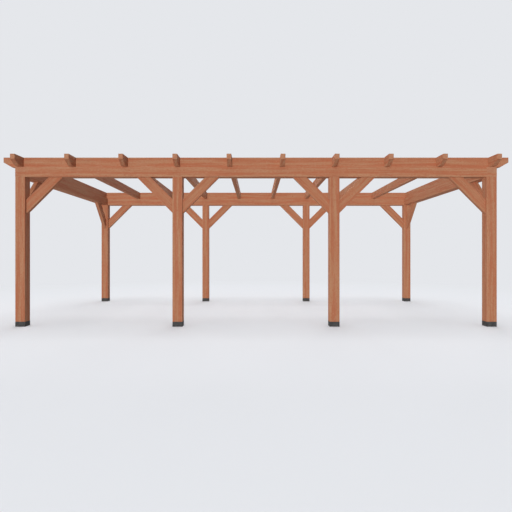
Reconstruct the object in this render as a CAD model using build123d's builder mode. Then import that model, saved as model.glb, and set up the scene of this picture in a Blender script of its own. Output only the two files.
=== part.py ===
from build123d import *
import math
import os

# Open timber patio cover. Millimetres, +Z up, front towards -Y.
# The origin is on the ground, under the middle of the plan.

# Posts and feet
post_size = 150  # side of the square posts
bay_count = 3  # bays along the front and the rear
bay_length = 2373  # centre to centre of neighbouring posts in a row
row_spacing = 3740  # centre to centre of the front and the rear row
foot_height = 75  # grey block under each post

# Ring of square beams on the posts, as wide as the posts
ring_underside = 2262  # above the ground
ring_height = 150

# Roof grid on the ring: two long top beams with the rafters lapped into them
plank_thickness = 70
plank_height = 150
rafter_count = 10
beam_overhang = 199  # top beam past the end of the ring
rafter_overhang = 217  # rafter past the face of the ring
tail_face_height = 75  # upright end face of a cut tail
tail_angle = 30  # rise of the cut under a tail, in degrees

# Knee braces
brace_leg = 548  # along the ring, from the post to the far end of the brace
brace_angle = 45  # rise of the brace, in degrees
brace_width = 150  # across the brace, in the plane of its frame
brace_thickness = 70

# Joinery and edges
lap_play = 0.5  # beside each cheek of a lap
lap_share = 0.5  # share of the height that the lower timber keeps at a lap
arris = 3  # planed-off edge of the timbers
foot_chamfer = 4

# Derived sizes and places
ring_length = bay_count * bay_length + post_size
ring_depth = row_spacing + post_size
ring_top = ring_underside + ring_height
ring_lap = ring_height * lap_share
roof_lap = plank_height * lap_share
post_xs = [bay_length * (i - bay_count / 2) for i in range(bay_count + 1)]
row_ys = {"front": -row_spacing / 2, "rear": row_spacing / 2}
side_xs = {"left": post_xs[0], "right": post_xs[-1]}
rafter_spacing = bay_count * bay_length / (rafter_count - 1)
rafter_xs = [post_xs[0] + rafter_spacing * i for i in range(rafter_count)]
notch_width = plank_thickness + 2 * lap_play
top_beam_length = ring_length + 2 * beam_overhang
rafter_length = ring_depth + 2 * rafter_overhang

os.makedirs("parts", exist_ok=True)


def save(piece, name):
    """Label the piece and write it as its own file."""
    piece.label = name
    export_step(piece, f"parts/{name}.step")


def make_feet(y):
    """Grey blocks under the posts of one row, with eased upper edges."""
    with BuildPart() as feet:
        with BuildSketch():
            with Locations(*[(x, y) for x in post_xs]):
                Rectangle(post_size, post_size)
        extrude(amount=foot_height)
        chamfer(feet.faces().group_by(Axis.Z)[-1].edges(), foot_chamfer)
    return feet.part


def make_post(x, y):
    """Square post from the top of its foot to the underside of the ring."""
    with BuildPart() as post:
        with BuildSketch(Plane((x, y, foot_height))):
            Rectangle(post_size, post_size)
        extrude(amount=ring_underside - foot_height)
        chamfer(post.edges().filter_by(Axis.Z), arris)
    return post.part


def make_long_ring_beam(y):
    """Long beam of the ring. Its ends keep their lower half, under the short beams."""
    with BuildPart() as beam:
        with BuildSketch(Plane((0, y, ring_underside))):
            Rectangle(ring_length, post_size)
        extrude(amount=ring_height)
        chamfer(beam.edges().filter_by(Axis.X), arris)
        with BuildSketch(Plane((0, y, ring_underside + ring_lap))):
            with GridLocations(ring_length, 0, 2, 1):
                Rectangle(2 * (post_size + lap_play), 2 * post_size)
        extrude(amount=ring_height, mode=Mode.SUBTRACT)
    return beam.part


def make_short_ring_beam(x):
    """Short beam of the ring. Its ends keep their upper half, on the long beams."""
    with BuildPart() as beam:
        with BuildSketch(Plane((x, 0, ring_underside))):
            Rectangle(post_size, ring_depth)
        extrude(amount=ring_height)
        chamfer(beam.edges().filter_by(Axis.Y), arris)
        with BuildSketch(Plane((x, 0, ring_underside + ring_lap))):
            with GridLocations(0, ring_depth, 1, 2):
                Rectangle(2 * post_size, 2 * (post_size + lap_play))
        extrude(amount=-ring_height, mode=Mode.SUBTRACT)
    return beam.part


def make_plank(side_view, length):
    """Upright roof plank with both tails cut, in side view on its underside line."""
    tail_length = (plank_height - tail_face_height) / math.tan(math.radians(tail_angle))
    half = length / 2
    with BuildPart() as plank:
        with BuildSketch(side_view):
            with BuildLine():
                tail = Polyline(
                    (half - tail_length, 0),
                    (half, plank_height - tail_face_height),
                    (half, plank_height),
                )
                mirror(tail, about=Plane.YZ)
                Line((tail_length - half, 0), (half - tail_length, 0))
                Line((-half, plank_height), (half, plank_height))
            make_face()
        extrude(amount=plank_thickness / 2, both=True)
        chamfer(plank.faces().filter_by(side_view).edges(), arris)
    return plank.part


def make_top_beam(y):
    """Long plank on the ring beam, notched from above for every rafter."""
    side_view = Plane(origin=(0, y, ring_top), x_dir=(1, 0, 0), z_dir=(0, -1, 0))
    with BuildPart() as beam:
        add(make_plank(side_view, top_beam_length))
        with BuildSketch(Plane((0, y, ring_top + roof_lap))):
            with Locations(*[(x, 0) for x in rafter_xs]):
                Rectangle(notch_width, 2 * plank_thickness)
        extrude(amount=plank_height, mode=Mode.SUBTRACT)
    return beam.part


def make_rafter(x):
    """Plank from front to rear, notched from below over both top beams."""
    side_view = Plane(origin=(x, 0, ring_top), x_dir=(0, 1, 0), z_dir=(1, 0, 0))
    with BuildPart() as rafter:
        add(make_plank(side_view, rafter_length))
        with BuildSketch(Plane((x, 0, ring_top + roof_lap))):
            with GridLocations(0, row_spacing, 1, 2):
                Rectangle(2 * plank_thickness, notch_width)
        extrude(amount=-plank_height, mode=Mode.SUBTRACT)
    return rafter.part


def make_brace(corner, along):
    """Knee brace in the corner between a post and the ring.

    corner is the meeting point of the post's face and the ring's underside, and along is the
    level direction from the post to the far end of the brace.
    """
    rise = math.tan(math.radians(brace_angle))
    inner_leg = brace_leg - brace_width / math.sin(math.radians(brace_angle))
    down = Vector(0, 0, -1)
    frame_plane = Plane(origin=corner, x_dir=along, z_dir=Vector(*along).cross(down))
    grain = Axis(origin=corner, direction=Vector(*along) - down * rise)
    with BuildPart() as brace:
        with BuildSketch(frame_plane):
            with BuildLine():
                Polyline(
                    (inner_leg, 0),
                    (brace_leg, 0),
                    (0, brace_leg * rise),
                    (0, inner_leg * rise),
                    close=True,
                )
            make_face()
        extrude(amount=brace_thickness / 2, both=True)
        chamfer(brace.edges().filter_by(grain), arris)
    return brace.part


for row, y in row_ys.items():
    save(make_feet(y), f"post_feet_{row}")
    for number, x in enumerate(post_xs, start=1):
        save(make_post(x, y), f"post_{row}_{number}")
    save(make_long_ring_beam(y), f"ring_beam_{row}")
    save(make_top_beam(y), f"top_beam_{row}")

for side, x in side_xs.items():
    save(make_short_ring_beam(x), f"ring_beam_{side}")

# Two braces to each bay of the long sides: one at its left post and one at its right post
for row, y in row_ys.items():
    for bay in range(bay_count):
        left_corner = (post_xs[bay] + post_size / 2, y, ring_underside)
        right_corner = (post_xs[bay + 1] - post_size / 2, y, ring_underside)
        save(make_brace(left_corner, (1, 0, 0)), f"brace_{row}_{2 * bay + 1}")
        save(make_brace(right_corner, (-1, 0, 0)), f"brace_{row}_{2 * bay + 2}")

# Two braces to each short side, from the front post and from the rear post
for side, x in side_xs.items():
    front_corner = (x, row_ys["front"] + post_size / 2, ring_underside)
    rear_corner = (x, row_ys["rear"] - post_size / 2, ring_underside)
    save(make_brace(front_corner, (0, 1, 0)), f"brace_{side}_1")
    save(make_brace(rear_corner, (0, -1, 0)), f"brace_{side}_2")

for number, x in enumerate(rafter_xs, start=1):
    save(make_rafter(x), f"rafter_{number:02d}")
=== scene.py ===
import math
import random

import bpy
from mathutils import Matrix, Vector


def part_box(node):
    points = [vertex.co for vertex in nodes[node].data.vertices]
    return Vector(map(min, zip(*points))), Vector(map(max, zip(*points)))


# Looks of the open timber patio cover, in metres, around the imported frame
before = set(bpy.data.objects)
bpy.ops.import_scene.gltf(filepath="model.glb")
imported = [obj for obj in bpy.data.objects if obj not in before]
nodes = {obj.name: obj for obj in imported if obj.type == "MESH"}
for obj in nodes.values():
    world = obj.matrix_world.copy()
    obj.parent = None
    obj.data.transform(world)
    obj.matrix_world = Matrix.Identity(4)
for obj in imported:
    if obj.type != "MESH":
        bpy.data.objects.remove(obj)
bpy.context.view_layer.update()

# Camera, as in the photograph: level, square to the front and on its middle
CAMERA_HEIGHT = 1.067
CAMERA_BEFORE_POSTS = 6.691  # from the lens to the front faces of the front posts
CAMERA_ANGLE = 60  # across the square picture, in degrees
SENSOR_WIDTH = 36  # mm

# Light, as shares of what makes a white surface white. The key and the fill lamp cast no shadows,
# so that the rear row is as bright as the front one.
SKY = 0.19
SKY_TINT = (0.97, 1.0, 1.04)  # the light from all round is a little cooler than the lamps
KEY = 0.803
KEY_FROM = (-0.475, -0.635, 0.14)
FILL = 0.125
FILL_FROM = (0.005, -0.02, -0.12)
TOP = 0.58
TOP_FROM = (0, 0, 1)
BACK = 0.52
BACK_FROM = (0.10, 1.0, 0.25)
SOFT_SPREAD = 50  # width of the two lamps that cast shadows, in degrees

# Floor
FLOOR_REACH = 300.0
FLOOR_FADE = (5.0, 11.0)  # it turns into the backdrop between these distances from the middle
FLOOR_BOUNCE = 0.37  # share of the light that the floor gives back to the timbers

# Colours as the eye sees them, on a scale of 0 to 255
BACKDROP = (229, 231, 235)
TIMBER_TAN = (181, 133, 100)
TIMBER_RED = (175, 105, 74)
TIMBER_PALE = (187, 144, 115)
TIMBER_LATE = (162, 96, 68)  # the dark line that ends each year's growth, and the fibres
TIMBER_KNOT = (160, 86, 58)
TIMBER_KNOT_RIM = (142, 76, 52)
TIMBER_CHECK = (84, 46, 34)
STONE = (81, 80, 79)
STONE_PALE = (116, 115, 112)
STONE_DARK = (62, 61, 61)
STONE_PIT = (34, 34, 34)

# Edges of the timbers and the feet
JOIN_REACH = 0.00002  # corners this close are one
ARRIS_ROUND = 0.0012  # rounding of every edge
ARRIS_STEPS = 2
ARRIS_ANGLE = 20  # only edges that turn by more are rounded, in degrees
ARRIS_WEAR = 0.007  # width of the rubbed strip along an edge
WORN_WISPS = (0.35, 0.60)  # it shows where the wisps pass from the first value to the second

# Where a timber's wood is cut from the tree
PITH_BESIDE = (0.015, 0.06)  # from the middle of the timber to the pith, one way across the grain
PITH_ACROSS = 0.06  # the same the other way, at most
PITH_WANDER = 0.05
END_GRAIN_FACING = (0.60, 0.95)  # share of a face's direction that is along the grain

# Seeds, which keep the timbers apart, and the noises in one timber
SEED_RANGE = 40
SECOND_SEED = 7.0
THIRD_SEED = 13.0

# Noises in the wood. All scales are in cycles a metre: along the grain, and across it both ways.
WANDER_SCALE = (0.8, 3.0, 3.0)
RING_WAVE_SCALE = (3, 30, 30)
BAND_DRIFT_SCALE = (0.8, 9, 9)
STREAK_SCALE = (1.6, 58, 58)
WISP_SCALE = (3.6, 80, 80)
MOTTLE_SCALE = (34, 60, 60)
FIBRE_SCALE = (7, 420, 420)
PORE_SCALE = (40, 1100, 1100)

# Growth rings, and the broad bands and narrow streaks of redder and paler wood
RING_SPACING = 0.0046
RING_WAVE = 1.4  # in rings
FAINT_RING = 0.35  # strength of the faintest ring beside the strongest
LATE_START = (0.25, 0.86)  # share of a year over which its wood darkens
LATE_END = (1.0, 0.93)  # and over which it pales again, from the end back
BANDS_ACROSS = (0, 1 / 0.088, 1 / 0.104)  # bands to a metre
BAND_DRIFT = 1.6  # in bands
BAND_WARMTH = 0.23
STREAK_WARMTH = 1.7
WARMTH_RANGE = (-0.48, 0.48)  # from red to tan

# Knots. Places for them lie along the timber and round its pith.
KNOTS_ALONG = 4.0  # places to a metre
KNOTS_AROUND = 0.27  # share of the distance between two places that a radian round the pith takes
KNOT_REACH = 0.045  # radius of a knot, as a share of that distance
KNOT_EDGE = 0.85  # share of the reach where the knot is whole
KNOT_RINGS = 4
KNOT_RING_DARK = (-0.2, 1.0)  # part of a ring's wave, from -1 to 1, over which it darkens
KNOT_RIPPLE_SCALE = (70, 70, 70)
KNOT_RIPPLE = 0.018
KNOT_FLOW_REACH = 4  # the grain bends out to this many times the knot's reach
KNOT_FLOW = 0.010  # and by this much
KNOT_SEED_STEP = 3.0

# Checks, the fine cracks from drying, in planes round the pith
CHECK_PLANES = 7
CHECK_WIDTH = 0.0018
CHECK_WAVE_SCALE = (2.2, 0, 0)
CHECK_WAVE = 0.25  # in steps from plane to plane
CHECK_SEED_STEP = 3.7
DRYING_SCALE = (1.1, 0, 0)
DRYING_OPENS = (0.58, 0.76)  # drying at which a check starts to open, and at which it is widest
END_DRYING = 0.06
END_REACH = 0.2  # from a timber's end

# Surface of the timber
TIMBER_SPECULAR = 0.18
TIMBER_ROUGHNESS = 0.76
TIMBER_BUMP = {"Strength": 0.35, "Distance": 0.0015}

# Surface of the stone: clouds, grit and pits
STONE_SPECULAR = 0.1
STONE_ROUGHNESS = 0.85
STONE_BUMP = {"Strength": 0.5, "Distance": 0.001}
CLOUD_SCALE = (24, 24, 24)
GRIT_SCALE = (380, 380, 380)
PIT_SCALE = 95.0
PIT_RIM = (0.20, 0.12)  # from a pit's middle, as shares of the distance between two pits
PIT_CLOUDS = (0.50, 0.56)  # pits show where the clouds pass from the first value to the second
PIT_RELIEF = 1.5  # depth of a pit beside the grit's height


def linear(colour):
    """Scene colour of an sRGB colour given on a scale of 0 to 255."""
    def channel(value):
        share = value / 255
        return share / 12.92 if share <= 0.04045 else ((share + 0.055) / 1.055) ** 2.4
    return tuple(channel(value) for value in colour) + (1.0,)


class Tree:
    """A node tree with short calls for adding and joining its nodes."""

    def __init__(self, tree):
        self.tree = tree

    def link(self, source, target):
        self.tree.links.new(source, target)

    def fill(self, socket, value):
        """Gives an input a value, or joins it to another node's socket."""
        if isinstance(value, bpy.types.NodeSocket):
            self.link(value, socket)
        else:
            socket.default_value = value

    def add(self, kind, inputs=None, **settings):
        """New node. Each input is a value or another node's socket, under its name or number."""
        made = self.tree.nodes.new(kind)
        for name, value in settings.items():
            setattr(made, name, value)
        for name, value in (inputs or {}).items():
            self.fill(made.inputs[name], value)
        return made

    def math(self, operation, first, second=0.0):
        inputs = {0: first, 1: second}
        return self.add("ShaderNodeMath", inputs, operation=operation).outputs[0]

    def vector(self, operation, first, second=(0, 0, 0), output="Vector"):
        made = self.add("ShaderNodeVectorMath", {0: first, 1: second}, operation=operation)
        return made.outputs[output]

    def noise(self, place, scale, seed, detail=2.0, roughness=0.5, output="Fac"):
        """Noise of about 0 to 1 that is stretched by the three scales, in cycles a metre."""
        inputs = {
            "Vector": self.vector("MULTIPLY", place, scale),
            "W": seed,
            "Scale": 1.0,
            "Detail": detail,
            "Roughness": roughness,
        }
        return self.add("ShaderNodeTexNoise", inputs, noise_dimensions="4D").outputs[output]

    def cells(self, place, scale=1.0):
        """Distance to the nearest of points that are strewn about a unit apart."""
        inputs = {"Vector": place, "Scale": scale}
        made = self.add("ShaderNodeTexVoronoi", inputs, voronoi_dimensions="3D")
        return made.outputs["Distance"]

    def ramp(self, value, low, high, to_low=0.0, to_high=1.0):
        """The value, spread smoothly from one range to another and kept within it."""
        inputs = {
            "Value": value,
            "From Min": low,
            "From Max": high,
            "To Min": to_low,
            "To Max": to_high,
        }
        made = self.add("ShaderNodeMapRange", inputs, interpolation_type="SMOOTHSTEP")
        return made.outputs["Result"]

    def total(self, start, *parts):
        """The start and, on top, each part's value times its weight."""
        for value, weight in parts:
            start = self.math("ADD", start, self.math("MULTIPLY", value, weight))
        return start

    def mix(self, share, first, second):
        inputs = {0: share, 6: first, 7: second}
        return self.add("ShaderNodeMix", inputs, data_type="RGBA").outputs[2]

    def layers(self, colour, *marks):
        """The colour under marks, each with the place where it shows, its strength and colour."""
        for mark, strength, tint in marks:
            colour = self.mix(self.math("MULTIPLY", mark, strength), colour, linear(tint))
        return colour


def add_sockets(group, direction, kinds):
    for name, kind in kinds.items():
        group.interface.new_socket(name, in_out=direction, socket_type=f"NodeSocket{kind}")


def add_knots(t, place, around, seed):
    """Knots where branches grow out from the pith.

    Returns where they show, where their rings show, and how far the grain bends round them.
    """
    along = t.vector("MULTIPLY", place, (KNOTS_ALONG, 0, 0))
    turn = t.vector("MULTIPLY", around, (0, KNOTS_AROUND, KNOTS_AROUND))
    start = t.add("ShaderNodeCombineXYZ", {"X": t.math("MULTIPLY", seed, KNOT_SEED_STEP)})
    near = t.cells(t.vector("ADD", t.vector("ADD", along, turn), start.outputs[0]))
    ripple = t.math("SUBTRACT", t.noise(place, KNOT_RIPPLE_SCALE, seed, detail=1.0), 0.5)
    reach = t.total(near, (ripple, KNOT_RIPPLE))
    knot = t.ramp(reach, KNOT_REACH, KNOT_REACH * KNOT_EDGE)
    rings = t.math("SINE", t.math("MULTIPLY", reach, 2 * math.pi * KNOT_RINGS / KNOT_REACH))
    rings = t.math("MULTIPLY", t.ramp(rings, *KNOT_RING_DARK), knot)
    flow = t.math("MULTIPLY", t.ramp(near, KNOT_REACH * KNOT_FLOW_REACH, KNOT_REACH), KNOT_FLOW)
    return knot, rings, flow


def add_checks(t, place, to_end, from_pith, radius, seed):
    """Where drying cracks show. Each opens here and there in its plane, most near the ends."""
    parts = t.add("ShaderNodeSeparateXYZ", {0: from_pith}).outputs
    angle = t.math("ARCTAN2", parts["Z"], parts["Y"])
    turn = t.math("MULTIPLY", angle, CHECK_PLANES / (2 * math.pi))
    turn = t.total(turn, (t.noise(place, CHECK_WAVE_SCALE, seed), CHECK_WAVE))
    plane_seed = t.total(seed, (t.math("FLOOR", turn), CHECK_SEED_STEP))
    off_plane = t.math("ABSOLUTE", t.math("SUBTRACT", t.math("FRACT", turn), 0.5))
    off_plane = t.math("MULTIPLY", off_plane, radius)
    off_plane = t.math("MULTIPLY", off_plane, 2 * math.pi / CHECK_PLANES)
    drying = t.noise(place, DRYING_SCALE, plane_seed, detail=1.0)
    drying = t.math("ADD", drying, t.ramp(to_end, END_REACH, 0.0, 0.0, END_DRYING))
    opening = t.ramp(drying, *DRYING_OPENS, 0.0, CHECK_WIDTH / 2)
    return t.ramp(t.math("SUBTRACT", opening, off_plane), 0.0, CHECK_WIDTH / 4)


def make_grain_group():
    """Wood of a timber whose grain runs along x: rings, bands, fibres, wisps, knots and checks.

    Facing is 1 on a face that cuts straight across the grain, and 0 on one along it.
    """
    group = bpy.data.node_groups.new("timber_grain", "ShaderNodeTree")
    vectors = {name: "Vector" for name in ("Place", "Pith", "Half")}
    add_sockets(group, "INPUT", {**vectors, "Facing": "Float", "Seed": "Float"})
    add_sockets(group, "OUTPUT", {"Color": "Color", "Roughness": "Float", "Height": "Float"})
    t = Tree(group)
    given = t.add("NodeGroupInput").outputs
    place, pith, seed = given["Place"], given["Pith"], given["Seed"]
    second_seed = t.math("ADD", seed, SECOND_SEED)
    third_seed = t.math("ADD", seed, THIRD_SEED)
    to_faces = t.vector("SUBTRACT", given["Half"], t.vector("ABSOLUTE", place))
    inside = t.add("ShaderNodeSeparateXYZ", {0: to_faces}).outputs

    # The pith wanders along the timber, and knots and checks start from it
    wander = t.noise(place, WANDER_SCALE, seed, output="Color")
    wander = t.vector("SUBTRACT", wander, (0.5, 0.5, 0.5))
    shift = t.vector("MULTIPLY", wander, (0, PITH_WANDER, PITH_WANDER))
    from_pith = t.vector("ADD", t.vector("SUBTRACT", place, pith), shift)
    from_pith = t.vector("MULTIPLY", from_pith, (0, 1, 1))
    radius = t.vector("LENGTH", from_pith, output="Value")
    knot, knot_rings, knot_flow = add_knots(t, place, t.vector("NORMALIZE", from_pith), seed)
    check = add_checks(t, place, inside["X"], from_pith, radius, third_seed)

    # Growth rings: each year ends in a darker line, some years in a fainter one than others
    year = t.math("MULTIPLY", t.math("ADD", radius, knot_flow), 1 / RING_SPACING)
    year = t.total(year, (t.noise(place, RING_WAVE_SCALE, seed), RING_WAVE))
    phase = t.math("FRACT", year)
    year_number = {"W": t.math("FLOOR", year)}
    year_draw = t.add("ShaderNodeTexWhiteNoise", year_number, noise_dimensions="1D")
    late = t.math("MULTIPLY", t.ramp(phase, *LATE_START), t.ramp(phase, *LATE_END))
    strength = t.ramp(year_draw.outputs["Value"], 0.0, 1.0, FAINT_RING, 1.0)
    late = t.math("MULTIPLY", late, strength)

    # Bands and streaks that run along the timber, and finer marks
    flow = t.vector("ADD", place, shift)
    across = t.vector("DOT_PRODUCT", flow, BANDS_ACROSS, output="Value")
    across = t.total(across, (t.noise(place, BAND_DRIFT_SCALE, seed, detail=1.0), BAND_DRIFT))
    bands = t.math("SINE", t.math("MULTIPLY", across, 2 * math.pi))
    streaks = t.math("SUBTRACT", t.noise(flow, STREAK_SCALE, second_seed, detail=1.0), 0.5)
    wisps = t.noise(flow, WISP_SCALE, third_seed, detail=2.0)
    mottle = t.noise(place, MOTTLE_SCALE, second_seed, detail=3.0, roughness=0.6)
    fibres = t.noise(flow, FIBRE_SCALE, seed, detail=3.0, roughness=0.65)
    pores = t.noise(place, PORE_SCALE, third_seed, detail=1.0)
    end_grain = t.ramp(given["Facing"], *END_GRAIN_FACING)

    # The strip beside each arris is rubbed a little paler, here and there
    to_edge = t.math("MAXIMUM", inside["Y"], inside["Z"])
    rubbed = t.math("MULTIPLY", t.ramp(to_edge, ARRIS_WEAR, 0.0), t.ramp(wisps, *WORN_WISPS))

    warmth = t.total(t.math("MULTIPLY", bands, BAND_WARMTH), (streaks, STREAK_WARMTH))
    warmth = t.ramp(warmth, *WARMTH_RANGE)
    colour = t.layers(
        t.mix(warmth, linear(TIMBER_RED), linear(TIMBER_TAN)),
        (t.ramp(mottle, 0.50, 0.68), 0.80, TIMBER_RED),
        (t.ramp(mottle, 0.46, 0.32), 0.40, TIMBER_PALE),
        (end_grain, 0.40, TIMBER_PALE),
        (late, 0.55, TIMBER_LATE),
        (t.ramp(wisps, 0.60, 0.74), 0.60, TIMBER_PALE),
        (t.ramp(fibres, 0.52, 0.68), 0.45, TIMBER_LATE),
        (t.ramp(fibres, 0.46, 0.32), 0.30, TIMBER_PALE),
        (t.ramp(pores, 0.64, 0.74), 0.45, TIMBER_KNOT),
        (knot, 0.80, TIMBER_KNOT),
        (knot_rings, 0.55, TIMBER_KNOT_RIM),
        (check, 0.85, TIMBER_CHECK),
        (rubbed, 0.50, TIMBER_PALE),
    )
    height = t.total(0.0, (late, 0.5), (fibres, 0.8), (pores, -0.2), (check, -2.0))
    roughness = t.total(
        TIMBER_ROUGHNESS,
        (fibres, 0.20),
        (late, -0.07),
        (knot, -0.07),
        (rubbed, 0.08),
        (end_grain, 0.08),
    )
    out = t.add("NodeGroupOutput").inputs
    t.link(colour, out["Color"])
    t.link(roughness, out["Roughness"])
    t.link(height, out["Height"])
    return group


def grain_axes(grain):
    """Turned axes of a timber: x along the grain, and y and z across it."""
    along = Vector(grain).normalized()
    upright = abs(along.z) > 0.99
    across = Vector((1, 0, 0)) if upright else along.cross(Vector((0, 0, 1))).normalized()
    return Matrix((along, across, along.cross(across))).transposed()


def grain_box(node, axes):
    """Middle and half sizes of a node's box along the timber's turned axes."""
    corners = [axes.transposed() @ vertex.co for vertex in node.data.vertices]
    low = Vector([min(corner[i] for corner in corners) for i in range(3)])
    high = Vector([max(corner[i] for corner in corners) for i in range(3)])
    return axes @ ((low + high) / 2), (high - low) / 2


def make_timber(name, grain, group):
    """Material of one timber, with its own piece of wood laid along the grain direction."""
    draw = random.Random(name)
    axes = grain_axes(grain)
    middle, half = grain_box(nodes[name], axes)
    beside = draw.choice((-1, 1)) * draw.uniform(*PITH_BESIDE)
    pith = (0.0, beside, draw.uniform(-PITH_ACROSS, PITH_ACROSS))

    material = bpy.data.materials.new(f"timber_{name}")
    material.use_nodes = True
    t = Tree(material.node_tree)
    shader = material.node_tree.nodes["Principled BSDF"].inputs
    surface = t.add("ShaderNodeTexCoord").outputs
    turned = {"Vector": surface["Object"], "Location": middle, "Rotation": axes.to_euler()}
    place = t.add("ShaderNodeMapping", turned, vector_type="TEXTURE").outputs["Vector"]
    facing = t.vector("DOT_PRODUCT", surface["Normal"], axes.col[0], output="Value")
    wood = t.add("ShaderNodeGroup", node_tree=group)
    inputs = {
        "Place": place,
        "Pith": pith,
        "Half": half,
        "Facing": t.math("ABSOLUTE", facing),
        "Seed": draw.uniform(0, SEED_RANGE),
    }
    for socket, value in inputs.items():
        t.fill(wood.inputs[socket], value)
    bump = t.add("ShaderNodeBump", {**TIMBER_BUMP, "Height": wood.outputs["Height"]})
    t.link(wood.outputs["Color"], shader["Base Color"])
    t.link(wood.outputs["Roughness"], shader["Roughness"])
    t.link(bump.outputs["Normal"], shader["Normal"])
    shader["Specular IOR Level"].default_value = TIMBER_SPECULAR
    return material


def make_stone():
    """Dark grey cast block: a cloudy face with pale grit and small pits from air in the mould."""
    material = bpy.data.materials.new("foot_stone")
    material.use_nodes = True
    t = Tree(material.node_tree)
    shader = material.node_tree.nodes["Principled BSDF"].inputs
    place = t.add("ShaderNodeTexCoord").outputs["Object"]
    clouds = t.noise(place, CLOUD_SCALE, 1.0, detail=4.0, roughness=0.6)
    grit = t.noise(place, GRIT_SCALE, 2.0, detail=2.0, roughness=0.7)
    pit = t.ramp(t.cells(place, PIT_SCALE), *PIT_RIM)
    pit = t.math("MULTIPLY", pit, t.ramp(clouds, *PIT_CLOUDS))
    colour = t.layers(
        linear(STONE),
        (t.ramp(clouds, 0.3, 0.7), 1.0, STONE_DARK),
        (t.ramp(grit, 0.56, 0.70), 0.7, STONE_PALE),
        (pit, 0.8, STONE_PIT),
    )
    height = t.total(grit, (pit, -PIT_RELIEF))
    bump = t.add("ShaderNodeBump", {**STONE_BUMP, "Height": height})
    t.link(colour, shader["Base Color"])
    t.link(bump.outputs["Normal"], shader["Normal"])
    shader["Roughness"].default_value = STONE_ROUGHNESS
    shader["Specular IOR Level"].default_value = STONE_SPECULAR
    return material


def grain_of(name):
    """Direction that a timber's grain runs in, from its name."""
    if name.startswith("post_"):
        return 0, 0, 1
    if name.startswith("top_beam") or name in ("ring_beam_front", "ring_beam_rear"):
        return 1, 0, 0
    if name.startswith("brace_"):
        number = int(name.rsplit("_", 1)[1])
        lean = 1 if number % 2 else -1
        return (0, lean, 1) if name.startswith(("brace_left", "brace_right")) else (lean, 0, 1)
    return 0, 1, 0


def dress_nodes():
    """Gives every node its material and softly rounded edges."""
    group = make_grain_group()
    stone = make_stone()
    for name, node in nodes.items():
        is_foot = name.startswith("post_feet")
        material = stone if is_foot else make_timber(name, grain_of(name), group)
        node.data.materials.clear()
        node.data.materials.append(material)
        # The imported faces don't share their corners, and an edge needs them joined to be rounded
        joined = node.modifiers.new("joined_faces", "WELD")
        joined.merge_threshold = JOIN_REACH
        rounding = node.modifiers.new("rounded_edges", "BEVEL")
        rounding.width = ARRIS_ROUND
        rounding.segments = ARRIS_STEPS
        rounding.limit_method = "ANGLE"
        rounding.angle_limit = math.radians(ARRIS_ANGLE)
        rounding.harden_normals = True


def make_camera():
    data = bpy.data.cameras.new("camera")
    data.lens = SENSOR_WIDTH / 2 / math.tan(math.radians(CAMERA_ANGLE / 2))
    data.sensor_width = SENSOR_WIDTH
    camera = bpy.data.objects.new("camera", data)
    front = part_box("post_front_1")[0].y
    camera.location = (0, front - CAMERA_BEFORE_POSTS, CAMERA_HEIGHT)
    camera.rotation_euler = (math.radians(90), 0, 0)
    bpy.context.scene.collection.objects.link(camera)
    bpy.context.scene.camera = camera


def make_sun(name, direction, strength, spread=0, shadow=True):
    """Distant lamp that shines from the direction, as wide as the spread in degrees."""
    data = bpy.data.lights.new(name, "SUN")
    data.energy = strength * math.pi
    data.angle = math.radians(spread)
    data.use_shadow = shadow
    lamp = bpy.data.objects.new(name, data)
    lamp.rotation_mode = "QUATERNION"
    lamp.rotation_quaternion = Vector(direction).to_track_quat("Z", "Y")
    bpy.context.scene.collection.objects.link(lamp)


def shown_share(t):
    """1 for rays that show the backdrop and 0 for those that carry light."""
    path = t.add("ShaderNodeLightPath").outputs
    mirrored = t.math("MAXIMUM", path["Is Glossy Ray"], path["Is Transmission Ray"])
    return t.math("MAXIMUM", path["Is Camera Ray"], mirrored)


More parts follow.
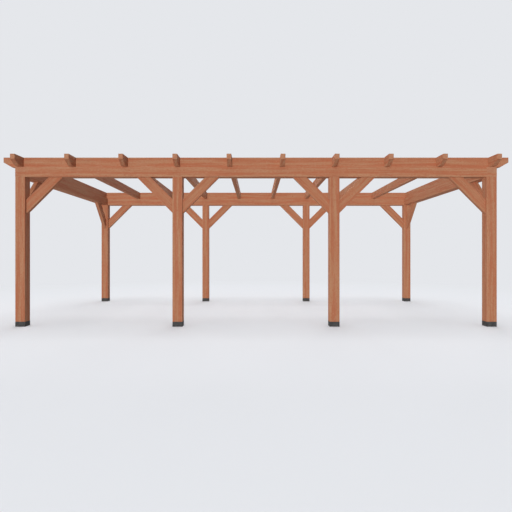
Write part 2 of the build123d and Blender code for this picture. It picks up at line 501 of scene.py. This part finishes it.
def make_light():
    """Four lamps, and a world that shows the backdrop but lights as a soft sky."""
    make_sun("key", KEY_FROM, KEY, shadow=False)
    make_sun("fill", FILL_FROM, FILL, shadow=False)
    make_sun("top", TOP_FROM, TOP, SOFT_SPREAD)
    make_sun("back", BACK_FROM, BACK, SOFT_SPREAD)
    world = bpy.data.worlds.new("studio")
    bpy.context.scene.world = world
    world.use_nodes = True
    world.node_tree.nodes.clear()
    t = Tree(world.node_tree)
    sky = t.add("ShaderNodeBackground", {"Color": (*SKY_TINT, 1), "Strength": SKY})
    backdrop = t.add("ShaderNodeBackground", {"Color": linear(BACKDROP), "Strength": 1.0})
    shaders = {0: shown_share(t), 1: sky.outputs[0], 2: backdrop.outputs[0]}
    both = t.add("ShaderNodeMixShader", shaders)
    t.link(both.outputs[0], t.add("ShaderNodeOutputWorld").inputs["Surface"])


def make_floor():
    """Pale floor that keeps the object's shadow and fades into the backdrop."""
    mesh = bpy.data.meshes.new("floor")
    turns = ((-1, -1), (1, -1), (1, 1), (-1, 1))
    mesh.from_pydata([(x * FLOOR_REACH, y * FLOOR_REACH, 0) for x, y in turns], [], [(0, 1, 2, 3)])
    floor = bpy.data.objects.new("floor", mesh)
    bpy.context.scene.collection.objects.link(floor)

    material = bpy.data.materials.new("floor")
    material.use_nodes = True
    material.node_tree.nodes.clear()
    t = Tree(material.node_tree)
    place = t.add("ShaderNodeTexCoord").outputs["Object"]
    far = t.ramp(t.vector("LENGTH", place, output="Value"), *FLOOR_FADE)
    bounced = tuple(FLOOR_BOUNCE * tint for tint in SKY_TINT)
    bounce = t.add("ShaderNodeBsdfDiffuse", {"Color": (*bounced, 1)})
    lit = t.add("ShaderNodeBsdfDiffuse", {"Color": linear(BACKDROP)})
    pale = t.add("ShaderNodeEmission", {"Color": linear(BACKDROP), "Strength": 1.0})
    shown = t.add("ShaderNodeMixShader", {0: far, 1: lit.outputs[0], 2: pale.outputs[0]})
    shaders = {0: shown_share(t), 1: bounce.outputs[0], 2: shown.outputs[0]}
    both = t.add("ShaderNodeMixShader", shaders)
    t.link(both.outputs[0], t.add("ShaderNodeOutputMaterial").inputs["Surface"])
    mesh.materials.append(material)


bpy.context.scene.view_settings.view_transform = "Standard"
make_camera()
make_light()
make_floor()
dress_nodes()
